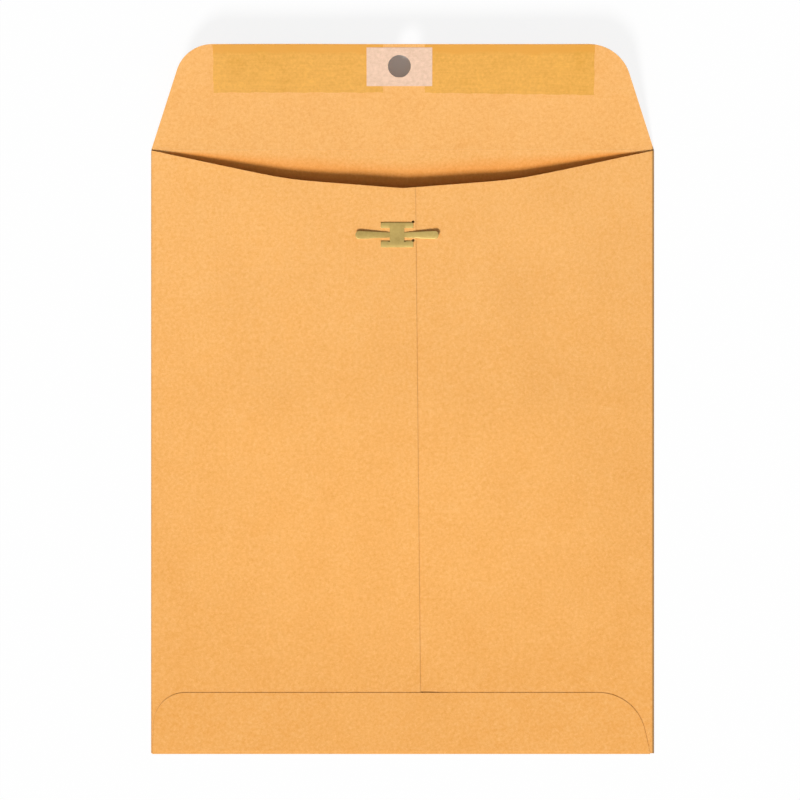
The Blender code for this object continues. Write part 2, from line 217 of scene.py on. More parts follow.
def step(value, low, high):
    """0 below low, 1 above high, and an even S between."""
    settings = {"interpolation_type": "SMOOTHSTEP"}
    return value.node("MapRange", settings, {"Value": value, "From Min": low, "From Max": high})


def mix_colours(factor, first, second, blend="MIX"):
    """The first colour where the factor is 0, the second, or the blend of both, where it is 1."""
    settings = {"data_type": "RGBA", "blend_type": blend}
    return factor.node("Mix", settings, {0: factor, 6: first, 7: second}, 2)


def bump(height, distance, strength):
    sockets = {"Height": height, "Distance": distance, "Strength": strength}
    return height.node("Bump", {}, sockets)


def part_of(place, axis):
    return place.node("SeparateXYZ", {}, {"Vector": place}, axis)


print("pattern helpers are ready")

# %% [markdown]
# ## World
# The world fills the shadows at its own share of the light, but a camera that looks past the object, or the
# metal that mirrors it, should see plain white. Light Path tells these rays apart. The fill is dimmer beyond
# the flap, as in a studio with its bounce boards beside the key light, so that the throat stays deep. Its
# mean is divided out, so that the fill keeps its share.

# %% World
def seen_directly(tree):
    """1 for rays from the camera, off a glossy face or through glass, 0 for light that falls on things."""
    rays = tree.nodes.new("ShaderNodeLightPath")
    camera_ray = Shade(rays.outputs["Is Camera Ray"])
    glossy_ray = Shade(rays.outputs["Is Glossy Ray"])
    clear_ray = Shade(rays.outputs["Is Transmission Ray"])
    either = camera_ray.maths("MAXIMUM", camera_ray, glossy_ray)
    return camera_ray.maths("MAXIMUM", either, clear_ray)


WHITE = (1, 1, 1, 1)
DIM_BEYOND_FLAP = 0.85
DIM_FROM = -0.3
DIM_TO = 0.5
MEAN_FILL = 0.628
world = bpy.data.worlds.new("studio")
bpy.context.scene.world = world
world_web = new_web(world)
direct = seen_directly(world_web)
way = first_node(world_web, "TexCoord", "Generated")
dimming = step(part_of(way, "Y"), DIM_FROM, DIM_TO) * DIM_BEYOND_FLAP
fill = direct.node("Background", {}, {"Color": WHITE, "Strength": (1 - dimming) * (FILL_SHARE / MEAN_FILL)})
backdrop = direct.node("Background", {}, {"Color": WHITE, "Strength": 1.0})
set_surface(world_web, "World", direct.node("MixShader", {}, {0: direct, 1: fill, 2: backdrop}))
print("world fill", FILL_SHARE)

# %% [markdown]
# ## Paper sizes and the shape of the pocket
# The blank is folded round small bends, and the clasp side bows off the front panel, most of all at the
# throat. These rules give the height of the paper at any place, so that every sheet, film and metal part can
# be laid on the one below it. The frame's solids keep small gaps; here the layers lie close, as pressed paper
# does, and the pocket bows as far as it takes to bring the paper up to the frame's clasp.

# %% Pocket rules
BODY_WIDTH = 254 * MM
BODY_HEIGHT = 304.8 * MM
PAPER = 0.18 * MM
LAYER_GAP = 0.01 * MM
FOLD_RADIUS = 0.35 * MM
GLUE_FILM = 0.06 * MM
METAL = 0.25 * MM
FLAT_FOOT = 36 * MM
FULL_GAPE_SHARE = 0.45
SEAM_EDGE_X = 6.4 * MM
SEAM_SLANT = 3.0 * MM
SEAM_LAP = 28 * MM
LAP_RAMP = 12 * MM
LAP_RAMP_CLEAR = 2 * MM
FOLD_Y = BODY_HEIGHT / 2
FOOT_Y = -BODY_HEIGHT / 2
BEND_X = BODY_WIDTH / 2 - PAPER / 2 - FOLD_RADIUS
WALL_Z = PAPER / 2 + 2 * FOLD_RADIUS
LAYER_STEP = PAPER + GLUE_FILM + 2 * LAYER_GAP
INNER_EDGE_X = SEAM_EDGE_X - SEAM_LAP

seat_clear = PAPER / 2 + LAYER_GAP + METAL / 2
plate_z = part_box("clasp_base")[1].z - METAL / 2
GAPE = plate_z - seat_clear - LAYER_STEP - WALL_Z


def smooth(t):
    """0 below 0, 1 above 1, and an even S between."""
    t = min(max(t, 0.0), 1.0)
    return t * t * (3 - 2 * t)


def lift(x, y):
    """How far the clasp side bows off the front panel."""
    arch = max(0.0, 1 - (x / BEND_X) ** 2)
    depth = (FOLD_Y - y) / (BODY_HEIGHT - FLAT_FOOT)
    return GAPE * arch * (1 - smooth((depth - FULL_GAPE_SHARE) / (1 - FULL_GAPE_SHARE)))


def lap_rise(x):
    """Share of a layer by which the outer lap climbs over the inner lap's edge."""
    return smooth((x - (INNER_EDGE_X - LAP_RAMP_CLEAR - LAP_RAMP)) / LAP_RAMP)


def seam_edge(y):
    """The outer lap's cut edge, which leans a little towards the foot."""
    return SEAM_EDGE_X + SEAM_SLANT * (FOLD_Y - y) / BODY_HEIGHT


def lap_fall(x):
    """Share of a layer that is left past the outer lap's edge."""
    return 1 - smooth((x - (seam_edge(FOOT_Y) + LAP_RAMP_CLEAR)) / LAP_RAMP)


def lap_layer(x):
    """Share of a layer by which the outer lap lifts what lies over it."""
    return lap_rise(x) * lap_fall(x)


print("the throat gapes", round(lift(0, FOLD_Y) / MM, 1), "mm")

# %% [markdown]
# ## Making a sheet
# Paper is thin and bends one way at a time. By hand it would be a plane, subdivided, bent over an edge and
# given a thickness; the bend tool needs a window, so here a grid is added and each of its points is laid
# where a rule says. Solidify then gives the sheet its thickness, equally to both sides. A second rule can
# mark the points of a cut edge, in full or in part, in an attribute named rim, which the paper's finish
# reads.

# %% Sheet helpers
SMOOTH_ANGLE = math.radians(35)
RIM_WIDTH = 0.4 * MM


def drop_selection():
    """The frame's nodes come selected, and an operator acts on all that is selected."""
    if bpy.context.object and bpy.context.object.mode != "OBJECT":
        bpy.ops.object.mode_set(mode="OBJECT")
    bpy.ops.object.select_all(action="DESELECT")


def pick(piece):
    drop_selection()
    piece.select_set(True)
    bpy.context.view_layer.objects.active = piece


def apply_modifier(piece, kind, **settings):
    pick(piece)
    modifier = piece.modifiers.new(kind.lower(), kind)
    for name, value in settings.items():
        setattr(modifier, name, value)
    bpy.ops.object.modifier_apply(modifier=modifier.name)


def face_outwards(piece):
    pick(piece)
    bpy.ops.object.mode_set(mode="EDIT")
    bpy.ops.mesh.select_all(action="SELECT")
    bpy.ops.mesh.normals_make_consistent(inside=False)
    bpy.ops.object.mode_set(mode="OBJECT")


def lay_sheet(name, columns, rows, place, thickness, rim=None):
    """A grid laid by place(u, v), with u and v from 0 to 1, and thickened; rim(u, v) marks cut edges."""
    drop_selection()
    bpy.ops.mesh.primitive_grid_add(x_subdivisions=columns, y_subdivisions=rows, size=1)
    piece = bpy.context.object
    piece.name = name
    marks = piece.data.attributes.new("rim", "FLOAT", "POINT").data
    for point, mark in zip(piece.data.vertices, marks):
        u, v = point.co.x + 0.5, point.co.y + 0.5
        mark.value = rim(u, v) if rim else 0
        point.co = place(u, v)
    face_outwards(piece)
    apply_modifier(piece, "SOLIDIFY", thickness=thickness, offset=0, use_even_offset=True)
    return piece


def tuck(u, length, columns, low=True, high=True):
    """Moves the grid lines next to an edge close to it, so that the edge has a narrow strip of its own."""
    line = round(u * columns)
    if low and line == 1:
        return RIM_WIDTH / length
    if high and line == columns - 1:
        return 1 - RIM_WIDTH / length
    return u


def punch(piece, cutter):
    """Cuts a shape out of a piece, and throws the cutter away."""
    apply_modifier(piece, "BOOLEAN", object=cutter, operation="DIFFERENCE", solver="EXACT")
    pick(cutter)
    bpy.ops.object.delete()


def settle(piece, finish, slot, body, *nodes):
    """Gives a finished piece its shading, finish and body, and hides the nodes it stands for."""
    pick(piece)
    bpy.ops.object.shade_smooth_by_angle(angle=SMOOTH_ANGLE)
    piece.data.materials.clear()
    piece.data.materials.append(finish)
    if body:
        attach(piece, body)
    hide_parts(*nodes)
    print(piece.name, "has", len(piece.data.polygons), "faces")


print("sheet helpers are ready")

# %% [markdown]
# ## Kraft paper
# Golden kraft is soft-sized pulp: cloudy when held away, mottled at a millimetre or two, and full of short
# fibres that lie mostly along the machine direction. Its hue shifts in blots and is warmer in the lower half
# of the page. The fold lines are burnished darker by the folding rollers, and the right fold is darker still
# with painted shade, as it faces away from the key light. A cut edge is a thin darker line, partly its own
# rough fibres and partly a painted shadow line. All of that is colour and a very low bump. It is mixed three
# times: plain, as a darker copy that paints shade on the flap's face that leans towards the key light and on
# the faces inside the pocket, and for the inside of the front panel, with painted shade that turns it a
# deeper orange towards the throat.

# %% Kraft finish
KRAFT_DEEP = (0.84, 0.379, 0.088)
KRAFT_PALE = (1.0, 0.537, 0.187)
WARM_TINT = (1.0, 0.965, 0.88, 1)
WARMTH = 0.75
WARMTH_LOST = 0.45
COOL_ABOVE = 120 * MM
KRAFT_BURNISH_AND_SHADE = (0.30, 0.15, 0.045, 1)
# Painted shade: the tint that deepens the front panel's inside towards the throat.
THROAT_SHADE_TINT = (1.0, 0.73, 0.42, 1)
# Painted shade: a darker copy of the kraft, for the flap's face that leans towards the key light and for the
# faces inside the pocket.
PAINTED_SHADE_LEVEL = 0.805
FOLD_BAND = 0.9 * MM
# The right fold's darkening is partly burnished paper and partly painted shade.
RIGHT_BURNISH_AND_SHADE = 0.8
LEFT_BURNISH = 0.5
FOOT_BURNISH = 0.6
RIM_SHADE = 0.45


def shaded(colour, shade):
    return (*(shade * part for part in colour), 1)


def make_kraft(name, shade, painted_throat_tint=None):
    material = bpy.data.materials.new(name)
    tree = new_web(material)
    place = first_node(tree, "TexCoord", "Object")
    across = part_of(place, "X")
    up = part_of(place, "Y")

    clouds = blots(place, 24 * MM)
    mottle = blots(place, 1.5 * MM, 3.0, 0.6)
    grain = blots(place, 0.45 * MM, 2.0, 0.6)
    along_fibres = step(streaks(place, 0.25, 4.5 * MM, 0.2 * MM), 0.57, 0.72)
    cross_fibres = step(streaks(place, -1.0, 3.0 * MM, 0.18 * MM), 0.58, 0.74)
    pale_curls = curls(place, 1.3 * MM) * step(blots(place, 1.9 * MM), 0.5, 0.6)
    dark_curls = curls(place, 1.0 * MM) * (1 - step(blots(place, 2.3 * MM), 0.4, 0.5))
    tone = 0.5 + (mottle - 0.5) * 1.15 + (clouds - 0.5) * 0.35 + up * 0.9 + (grain - 0.5) * 0.75
    tone = tone + (along_fibres - cross_fibres) * 0.18 + (pale_curls - dark_curls) * 0.3
    paper = mix_colours(tone, shaded(KRAFT_DEEP, shade), shaded(KRAFT_PALE, shade))
    hue = blots(place, 5 * MM, 3.0, 0.6)
    warmth = WARMTH - step(up, 0, COOL_ABOVE) * WARMTH_LOST + (hue - 0.5) * 2.0 - (mottle - 0.5) * 1.4
    paper = mix_colours(warmth, paper, WARM_TINT, "MULTIPLY")
    # Painted shade: where a mask is given, the paper deepens to a richer orange towards the throat.
    if painted_throat_tint:
        paper = mix_colours(painted_throat_tint(across, up), paper, THROAT_SHADE_TINT, "MULTIPLY")

    # Fold lines: burnished paper on every fold, with painted shade added on the right fold, away from the key
    # light.
    side_x = BODY_WIDTH / 2
    right_fold = step(across, side_x - 1.5 * FOLD_BAND, side_x - 0.6 * FOLD_BAND) * RIGHT_BURNISH_AND_SHADE
    left_fold = (1 - step(across, -side_x, FOLD_BAND - side_x)) * LEFT_BURNISH
    foot_fold = (1 - step(up, FOOT_Y, FOOT_Y + FOLD_BAND)) * FOOT_BURNISH
    burnish_and_shade = across.maths("MAXIMUM", right_fold, left_fold)
    burnish_and_shade = across.maths("MAXIMUM", burnish_and_shade, foot_fold)
    # The rim mark paints a thin darker line along cut edges, partly the edge's own fibres and partly painted
    # shadow.
    rim = place.node("Attribute", {"attribute_name": "rim"}, {}, "Fac")
    burnish_and_shade = across.maths("MAXIMUM", burnish_and_shade, rim * RIM_SHADE)
    paper = mix_colours(burnish_and_shade, paper, KRAFT_BURNISH_AND_SHADE)

    relief = mottle * 0.5 + grain * 0.35 + along_fibres * 0.2 + cross_fibres * 0.15 + pale_curls * 0.2
    sockets = {
        "Base Color": paper,
        "Roughness": 0.9 - (mottle - 0.5) * 0.25 - burnish_and_shade * 0.25,
        "Specular IOR Level": 0.25,
        "Normal": bump(relief, 0.05 * MM, 0.35),
    }
    set_surface(tree, "Material", place.node("BsdfPrincipled", {}, sockets))
    return material


kraft = make_kraft("kraft_finish", 1.0)
kraft_painted_shade = make_kraft("kraft_painted_shade_finish", PAINTED_SHADE_LEVEL)
print("kraft has", len(kraft.node_tree.nodes), "nodes")


# %% Painted shade on chosen faces
UPRIGHT = 0.5
KEY_LEAN = 0.2


def paint_shade_on(piece, faces_inwards, finish=kraft_painted_shade):
    """Gives the chosen faces another finish, by default the darker kraft copy that paints shade."""
    piece.data.materials.append(finish)
    for face in piece.data.polygons:
        if faces_inwards(face):
            face.material_index = 1


def faces_up(face):
    return face.normal.z > UPRIGHT


def faces_key(face):
    """The open flap's upper face, past the crease, where it leans towards the key light."""
    return faces_up(face) and face.normal.y < -KEY_LEAN


def faces_pocket(face):
    """The under face of a side panel, past its bend."""
    return face.normal.z < -UPRIGHT and face.center.z > WALL_Z / 2


print("inner faces are", round(100 * PAINTED_SHADE_LEVEL), "% as bright")

# %% [markdown]
# ## Front panel
# The address side lies flat on the table, between the starts of its folds. Its inner face shows in the
# throat. It is the one truly flat sheet here. Its inner face carries painted shade that deepens towards the
# throat, so the cut edge's two slopes come first.

# %% Front panel
THROAT_KNEE = 69 * MM
THROAT_KNEE_DROP = 15 * MM
THROAT_DEPTH = 19.3 * MM
STEEP_SLOPE = THROAT_KNEE_DROP / THROAT_KNEE
GENTLE_SLOPE = (THROAT_DEPTH - THROAT_KNEE_DROP) / (BODY_WIDTH / 2 - THROAT_KNEE)
# Where the painted throat shade is full, and where it has faded out.
THROAT_SHADE_WITHIN = 2.5 * MM
THROAT_SHADE_SHARE = 0.45
THROAT_SHADE_BEYOND = 15.5 * MM
CREASE_ZONE = 0.8 * MM
FRONT_COLUMNS = 24
FRONT_ROWS = 28
foot_reach = PAPER / 2 + (WALL_Z + 2 * LAYER_STEP - PAPER / 2) / 2


def on_front(u, v):
    low = FOOT_Y + foot_reach
    return BEND_X * (2 * u - 1), low + (FOLD_Y - CREASE_ZONE - low) * v, PAPER / 2


def throat_shade_mask(across, up):
    """Painted throat shade: 1 in the pocket, fading to 0 between the throat's cut edge and the crease, as a
    shader sum.
    """
    along = BODY_WIDTH / 2 - abs(across)
    before_knee = along.maths("MINIMUM", along, THROAT_KNEE)
    edge = FOLD_Y - along * GENTLE_SLOPE - before_knee * (STEEP_SLOPE - GENTLE_SLOPE)
    gap = FOLD_Y - edge
    fade_from = gap.maths("MINIMUM", gap * THROAT_SHADE_SHARE, THROAT_SHADE_WITHIN)
    fade_to = gap.maths("MINIMUM", gap, THROAT_SHADE_BEYOND)
    return 1 - step(up - edge, fade_from, fade_to)


kraft_throat_shade = make_kraft("kraft_throat_shade_finish", 1.0, throat_shade_mask)
front = lay_sheet("front_sheet", FRONT_COLUMNS, FRONT_ROWS, on_front, PAPER)
settle(front, kraft, "kraft_paper", "envelope", "front_panel")
# Painted shade: the front panel's inner face deepens towards the throat's cut edge.
paint_shade_on(front, faces_up, kraft_throat_shade)

# %% [markdown]
# ## Side panels
# Each side panel rolls round its fold and runs over the pocket to its free edge. The cut edge at the throat
# is a slope, a rounded knee and a gentler slope. The left panel is the outer lap of the seam, so it climbs
# by one layer before it crosses the right panel's edge. The paper also cockles very slightly, which the low
# light shows as soft tone.

# %% Side panel rules
THROAT_KNEE_ROUND = 10 * MM
PANEL_BOTTOM_CLEAR = 0.4 * MM
COCKLE = 0.16 * MM
COCKLE_FROM = 36
COCKLE_TO = 104
COCKLE_FADE = 20
BEND_STEPS = 14
PANEL_COLUMNS = 64
PANEL_ROWS = 84
SEAM_TONE = 0.5


def throat_edge(x):
    """Height on the page of the side panels' cut edge."""
    along = BODY_WIDTH / 2 - abs(x)
    before_knee = (along + THROAT_KNEE - math.hypot(along - THROAT_KNEE, THROAT_KNEE_ROUND)) / 2
    return FOLD_Y - GENTLE_SLOPE * along - (STEEP_SLOPE - GENTLE_SLOPE) * before_knee


def cockle(x, y):
    """A slight unevenness of the paper, away from the seam, the folds and the foot."""
    millimetres = abs(x) / MM
    room = smooth((millimetres - COCKLE_FROM) / COCKLE_FADE)
    room = room * (1 - smooth((millimetres - COCKLE_TO) / COCKLE_FADE))
    room = room * lift(x, y) / GAPE
    long_wave = math.sin(x / (11 * MM) + y / (19 * MM) + 0.7)
    cross_wave = math.sin(y / (8 * MM) - x / (23 * MM) + 2.1)
    return COCKLE * room * (long_wave + 0.7 * cross_wave)


def lay_side_panel(name, side, free_edge, climb):
    """Round the bend from the front panel, then over the pocket to the free edge."""
    columns = BEND_STEPS + PANEL_COLUMNS
    bend_share = BEND_STEPS / columns
    start = side * BEND_X
    reach = abs(free_edge(FOLD_Y) - start)
    low = FOOT_Y + PANEL_BOTTOM_CLEAR
    high = throat_edge(free_edge(FOLD_Y))

    def place(u, v):
        if u <= bend_share:
            angle = math.pi * u / bend_share
            x = start + side * FOLD_RADIUS * math.sin(angle)
            y = low + (throat_edge(start) - low) * v
            return x, y, PAPER / 2 + FOLD_RADIUS * (1 - math.cos(angle))
        across = tuck((u - bend_share) / (1 - bend_share), reach, PANEL_COLUMNS, low=False)
        level = low + (high - low) * v
        x = start + (free_edge(level) - start) * across
        y = low + (throat_edge(x) - low) * v
        return x, y, WALL_Z + lift(x, y) + cockle(x, y) + LAYER_STEP * climb(x)

    # The seam's cut edge is marked for a thin darker line, partly the edge's own fibres and partly painted
    # shadow.
    return lay_sheet(name, columns, PANEL_ROWS, place, PAPER, lambda u, v: SEAM_TONE * (u == 1))


left_panel = lay_side_panel("left_panel_sheet", -1, seam_edge, lap_rise)
right_panel = lay_side_panel("right_panel_sheet", 1, lambda y: INNER_EDGE_X, lambda x: 0)
print("side panels are laid")

# %% [markdown]
# ## Slits for the clasp
# Two slits go through both laps. A slit is punched, not drawn: a thin blade cuts each lap with a Boolean, and
# a small round punch opens the right end, where the tab doesn't fill it. The clasp lies where the hole comes
# down when the flap is closed, so the flap's sizes set its place.

# %% Slits
CLASP_X = -2.8 * MM
CLASP_HEIGHT = 12.6 * MM
CLASP_WIDTH = 16.4 * MM
LOWER_BAR = 3.2 * MM
TAB_INSET = 0.45 * MM
SLIT_END_CLEAR = 0.35 * MM
SLIT_SIDE_CLEAR = 0.12 * MM
SLIT_OPENING = 0.15 * MM
SLIT_EYE = 0.7 * MM
EYE_SIDES = 20
CUT_DEPTH = 4 * GAPE
FLAP_LENGTH = 54.6 * MM
FLAP_CLOSED_ANGLE = math.radians(15)
HOLE_FROM_EDGE = 10.8 * MM
HOLE_DISTANCE = FLAP_LENGTH - HOLE_FROM_EDGE
CLASP_PAST_HOLE = 0.55 * MM
CLASP_Y = FOLD_Y - HOLE_DISTANCE * math.cos(FLAP_CLOSED_ANGLE) - CLASP_PAST_HOLE

slit_length = CLASP_WIDTH - 2 * TAB_INSET + 2 * SLIT_END_CLEAR
slit_width = METAL + 2 * SLIT_SIDE_CLEAR + SLIT_OPENING
upper_slit_y = CLASP_Y + CLASP_HEIGHT / 2
lower_slit_y = CLASP_Y - CLASP_HEIGHT / 2 + LOWER_BAR


def add_blade(x, y):
    drop_selection()
    bpy.ops.mesh.primitive_cube_add(size=1, location=(x, y, WALL_Z + GAPE))
    bpy.ops.transform.resize(value=(slit_length, slit_width, CUT_DEPTH))
    bpy.ops.object.transform_apply(location=True, rotation=True, scale=True)
    return bpy.context.object


def add_eye(x, y):
    drop_selection()
    bpy.ops.mesh.primitive_cylinder_add(
        vertices=EYE_SIDES, radius=SLIT_EYE, depth=CUT_DEPTH, location=(x, y, WALL_Z + GAPE)
    )
    bpy.ops.object.transform_apply(location=True, rotation=True, scale=True)
    return bpy.context.object


for panel in (left_panel, right_panel):
    for slit_y in (upper_slit_y, lower_slit_y):
        punch(panel, add_blade(CLASP_X, slit_y + SLIT_OPENING / 2))
        punch(panel, add_eye(CLASP_X + slit_length / 2, slit_y + 2 * SLIT_OPENING))
settle(left_panel, kraft, "kraft_paper", "envelope", "left_side_panel")
settle(right_panel, kraft, "kraft_paper", "envelope", "right_side_panel")
# Painted shade: the side panels' faces inside the pocket get the darker kraft copy.
for panel in (left_panel, right_panel):
    paint_shade_on(panel, faces_pocket)

# %% [markdown]
# ## Bottom flap
# The bottom flap rolls round the foot and lies over both side panels. Its two sides aren't alike: the left
# one is nearly upright with a tight corner, the right one slants in with a wider corner. Rows of points run
# up the sides and then round the corners, so the outline is smooth and the grid stays whole.

# %% Bottom flap
BOTTOM_FLAP_HEIGHT = 31 * MM
BOTTOM_FLAP_INSET_LEFT = 0.6 * MM
BOTTOM_FLAP_INSET_RIGHT = 2.0 * MM
BOTTOM_FLAP_SLANT_LEFT = math.radians(2)
BOTTOM_FLAP_SLANT_RIGHT = math.radians(13)
BOTTOM_FLAP_CORNER_LEFT = 16 * MM
BOTTOM_FLAP_CORNER_RIGHT = 24 * MM
CORNER_STEPS = 20
SIDE_STEPS = 10
FLAP_COLUMNS = 110


def side_rows(inset, slant, corner, height):
    """One side of a flap, row by row: how far in from the body's edge, and how high."""
    arc_low = height - corner * (1 - math.sin(slant))
    centre_inset = inset + arc_low * math.tan(slant) + corner * math.cos(slant)
    shares = [row / SIDE_STEPS for row in range(SIDE_STEPS)]
    rows = [(inset + arc_low * share * math.tan(slant), arc_low * share) for share in shares]
    for row in range(CORNER_STEPS + 1):
        angle = slant + (math.pi / 2 - slant) * row / CORNER_STEPS
        rows.append((centre_inset - corner * math.cos(angle), height + corner * (math.sin(angle) - 1)))
    return rows


flat_height = BOTTOM_FLAP_HEIGHT - foot_reach
left_rows = side_rows(
    BOTTOM_FLAP_INSET_LEFT, BOTTOM_FLAP_SLANT_LEFT, BOTTOM_FLAP_CORNER_LEFT, flat_height
)
right_rows = side_rows(
    BOTTOM_FLAP_INSET_RIGHT, BOTTOM_FLAP_SLANT_RIGHT, BOTTOM_FLAP_CORNER_RIGHT, flat_height
)
foot_rows = BEND_STEPS + len(left_rows) - 1


def on_foot(u, v):
    row = round(v * foot_rows)
    flat_row = max(0, row - BEND_STEPS)
    left_x = -BODY_WIDTH / 2 + left_rows[flat_row][0]
    right_x = BODY_WIDTH / 2 - right_rows[flat_row][0]
    x = left_x + (right_x - left_x) * tuck(u, right_x - left_x, FLAP_COLUMNS)
    top_z = WALL_Z + LAYER_STEP * (1 + lap_layer(x))
    if row >= BEND_STEPS:
        rise = left_rows[flat_row][1] + (right_rows[flat_row][1] - left_rows[flat_row][1]) * u
        return x, FOOT_Y + foot_reach + rise, top_z
    angle = math.pi * row / BEND_STEPS
    y = FOOT_Y + foot_reach - (foot_reach - PAPER / 2) * math.sin(angle)
    return x, y, PAPER / 2 + (top_z - PAPER / 2) / 2 * (1 - math.cos(angle))


# Both side edges are marked for the same thin darker line, partly the edge's own fibres and partly painted
# shadow.
foot_flap = lay_sheet("foot_flap_sheet", FLAP_COLUMNS, foot_rows, on_foot, PAPER, lambda u, v: u in (0, 1))
settle(foot_flap, kraft, "kraft_paper", "envelope", "bottom_flap")

# %% [markdown]
# ## Seal flap
# The seal flap is the same sheet as the front panel, so its lowest strip stays with the pocket and the paper
# turns round the crease from there. It waves a very little at its free edge.

# %% Seal flap
FLAP_TAPER = 17.9 * MM
FLAP_CORNER_LEFT = 19 * MM
FLAP_CORNER_RIGHT = 22 * MM
FLAP_REST_ANGLE = math.radians(16)
CREASE_RADIUS = 0.5 * MM
FLAP_WAVE = 0.22 * MM
ZONE_STEPS = 6
CREASE_STEPS = 4
middle_depth = CREASE_RADIUS + PAPER / 2


def on_flap(x, along, height):
    """A place on the open flap: across, out from the crease, and up from the paper's middle."""
    share = along / FLAP_LENGTH
    wave = math.sin(x / (27 * MM) + 0.6) + 0.6 * math.sin(x / (14 * MM) + 2.4)
    up = height - middle_depth + FLAP_WAVE * share * share * wave
    y = FOLD_Y + along * math.cos(FLAP_REST_ANGLE) - up * math.sin(FLAP_REST_ANGLE)
    z = PAPER + CREASE_RADIUS + along * math.sin(FLAP_REST_ANGLE) + up * math.cos(FLAP_REST_ANGLE)
    return Vector((x, y, z))


slant = math.atan(FLAP_TAPER / FLAP_LENGTH)
left_flap_rows = side_rows(0, slant, FLAP_CORNER_LEFT, FLAP_LENGTH)
right_flap_rows = side_rows(0, slant, FLAP_CORNER_RIGHT, FLAP_LENGTH)
root_rows = ZONE_STEPS + CREASE_STEPS
seal_rows = root_rows + len(left_flap_rows) - 1


def on_seal_flap(u, v):
    row = round(v * seal_rows)
    if row <= ZONE_STEPS:
        y = FOLD_Y - CREASE_ZONE * (1 - row / ZONE_STEPS)
        return BEND_X * (2 * u - 1), y, PAPER / 2
    if row < root_rows:
        turn = FLAP_REST_ANGLE * (row - ZONE_STEPS) / CREASE_STEPS
        half_width = BEND_X + (BODY_WIDTH / 2 - BEND_X) * turn / FLAP_REST_ANGLE
        y = FOLD_Y + middle_depth * math.sin(turn)
        return half_width * (2 * u - 1), y, PAPER + CREASE_RADIUS - middle_depth * math.cos(turn)
    left_inset, left_along = left_flap_rows[row - root_rows]
    right_inset, right_along = right_flap_rows[row - root_rows]
    left_x = left_inset - BODY_WIDTH / 2
    right_x = BODY_WIDTH / 2 - right_inset
    return on_flap(left_x + (right_x - left_x) * u, left_along + (right_along - left_along) * u, 0)


flap = lay_sheet("seal_flap_sheet", FLAP_COLUMNS, seal_rows, on_seal_flap, PAPER)
print("the flap's free edge is", round(on_flap(0, FLAP_LENGTH, 0).z / MM, 1), "mm off the table")

# %% [markdown]
# ## The punched hole
# The hole is punched through the flap and the patch together, so one punch, turned with the flap, cuts both.
# It sits less than a millimetre off the frame's hole, nearer to where the picture has it.

# %% Punch the flap
HOLE_X = -1.6 * MM
HOLE_NUDGE = 0.5 * MM
HOLE_ALONG = HOLE_DISTANCE - HOLE_NUDGE
HOLE_DIAMETER = 11.5 * MM
HOLE_SIDES = 96


def add_hole_punch():
    drop_selection()
    bpy.ops.mesh.primitive_cylinder_add(
        vertices=HOLE_SIDES,
        radius=HOLE_DIAMETER / 2,
        depth=HOLE_DIAMETER / 2,
        location=on_flap(HOLE_X, HOLE_ALONG, 0),
        rotation=(FLAP_REST_ANGLE, 0, 0),
    )
    bpy.ops.object.transform_apply(location=True, rotation=True, scale=True)
    return bpy.context.object


punch(flap, add_hole_punch())
settle(flap, kraft, "kraft_paper", None, "seal_flap")
# Painted shade: the flap's face past the crease leans towards the key light, so it gets the darker kraft
# copy.
paint_shade_on(flap, faces_key)
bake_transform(flap)

# %% [markdown]
# ## Seal gum
# The gum is a dried film, rolled on in two stretches with a bare place round the hole. It is deeper in
# colour than the paper and has a faint shine, with roller marks along its length. It looks thickest in a
# wavy bead at the flap's edge, and its own edges run a little.

# %% Gum finish
GUM_DEEP = (0.545, 0.25, 0.018, 1)
GUM_PALE = (0.765, 0.375, 0.055, 1)
GUM_BEAD = (0.64, 0.281, 0.022, 1)
BEAD_FROM = 5.6 * MM
BEAD_FULL = 3.4 * MM
BEAD_RUN = 4 * MM
BEAD_SHARE = 0.9
bead_y = on_flap(0, FLAP_LENGTH, 0).y


def make_gum():
    material = bpy.data.materials.new("gum_finish")
    tree = new_web(material)
    place = first_node(tree, "TexCoord", "Object")
    up = part_of(place, "Y")

    clouds = blots(place, 9 * MM)
    mottle = blots(place, 1.5 * MM, 3.0, 0.6)
    roller = streaks(place, 0.0, 16 * MM, 0.9 * MM)
    tone = 0.5 + (mottle - 0.5) * 1.2 + (clouds - 0.5) * 0.4 + (roller - 0.5) * 0.4
    gum = mix_colours(tone, GUM_DEEP, GUM_PALE)
    wavy = up + (clouds - 0.5) * BEAD_RUN
    bead = step(wavy, bead_y - BEAD_FROM, bead_y - BEAD_FULL) * BEAD_SHARE
    gum = mix_colours(bead, gum, GUM_BEAD)
    relief = roller * 0.6 + mottle * 0.4
    sockets = {
        "Base Color": gum,
        "Roughness": 0.46 + (clouds - 0.5) * 0.5 + (mottle - 0.5) * 0.3,
        "Specular IOR Level": 0.35,
        "Normal": bump(relief, 0.04 * MM, 0.4),
    }
    set_surface(tree, "Material", place.node("BsdfPrincipled", {}, sockets))
    return material


gum_finish = make_gum()
print("gum has", len(gum_finish.node_tree.nodes), "nodes")

# %% Gum strips
GUM_FILM = 0.05 * MM
GUM_SEAT = 0.4
GUM_WIDTH = 24.5 * MM
GUM_LEAN = 0.0135
GUM_X = 0.6 * MM
GUM_HALF_LENGTH = 95.8 * MM
GUM_BREAK = 21 * MM
GUM_EDGE_INSET = 0.3 * MM
GUM_RUN = 0.14 * MM
GUM_COLUMNS = 90
GUM_ROWS = 20
gum_high = FLAP_LENGTH - GUM_EDGE_INSET
gum_low = gum_high - GUM_WIDTH
# The film's middle lies less than half its thickness over the paper, so that the two touch
gum_level = PAPER / 2 + GUM_SEAT * GUM_FILM


def run(t, phase):
    """How far the wet gum ran at one place along its edge."""
    return GUM_RUN * (math.sin(t / (2.3 * MM) + phase) + 0.6 * math.sin(t / (0.9 * MM) + 2 * phase))


